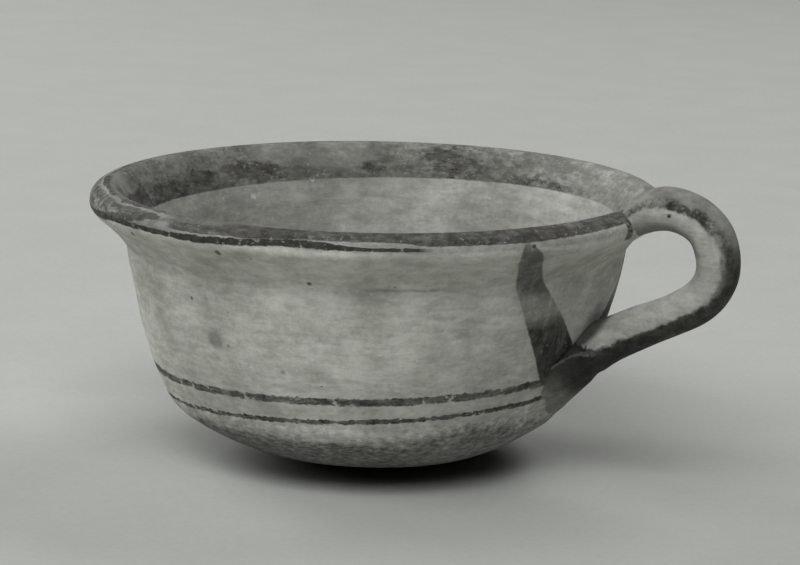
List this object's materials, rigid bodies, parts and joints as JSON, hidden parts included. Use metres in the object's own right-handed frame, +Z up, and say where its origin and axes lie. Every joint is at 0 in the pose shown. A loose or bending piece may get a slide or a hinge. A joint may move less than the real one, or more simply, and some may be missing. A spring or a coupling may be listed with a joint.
{
  "type": "one-handled pottery cup",
  "caption": "Wide pottery cup with a small flat base, rounded shoulder, everted lip and one strap handle, painted with dark slip bands round the rim and lower body.",
  "frame": {"origin": "centre of the flat base, on the axis of the bowl", "axes": "+Z up along the axis of the bowl, +X towards the handle"},
  "size_m": [0.1415, 0.1218, 0.0641],
  "materials": {
    "clay": "matt fired clay, smoothed on the wheel",
    "slip": "dark painted slip, worn and mottled"
  },
  "bodies": {
    "root": {"bowl": "clay", "handle": "clay", "lip_luting": "clay", "foot_luting": "clay", "lip_band": "slip", "inner_rim_band": "slip", "upper_body_band": "slip", "lower_body_band": "slip", "front_stroke": "slip", "back_stroke": "slip", "handle_stripe": "slip"}
  },
  "joints": []
}
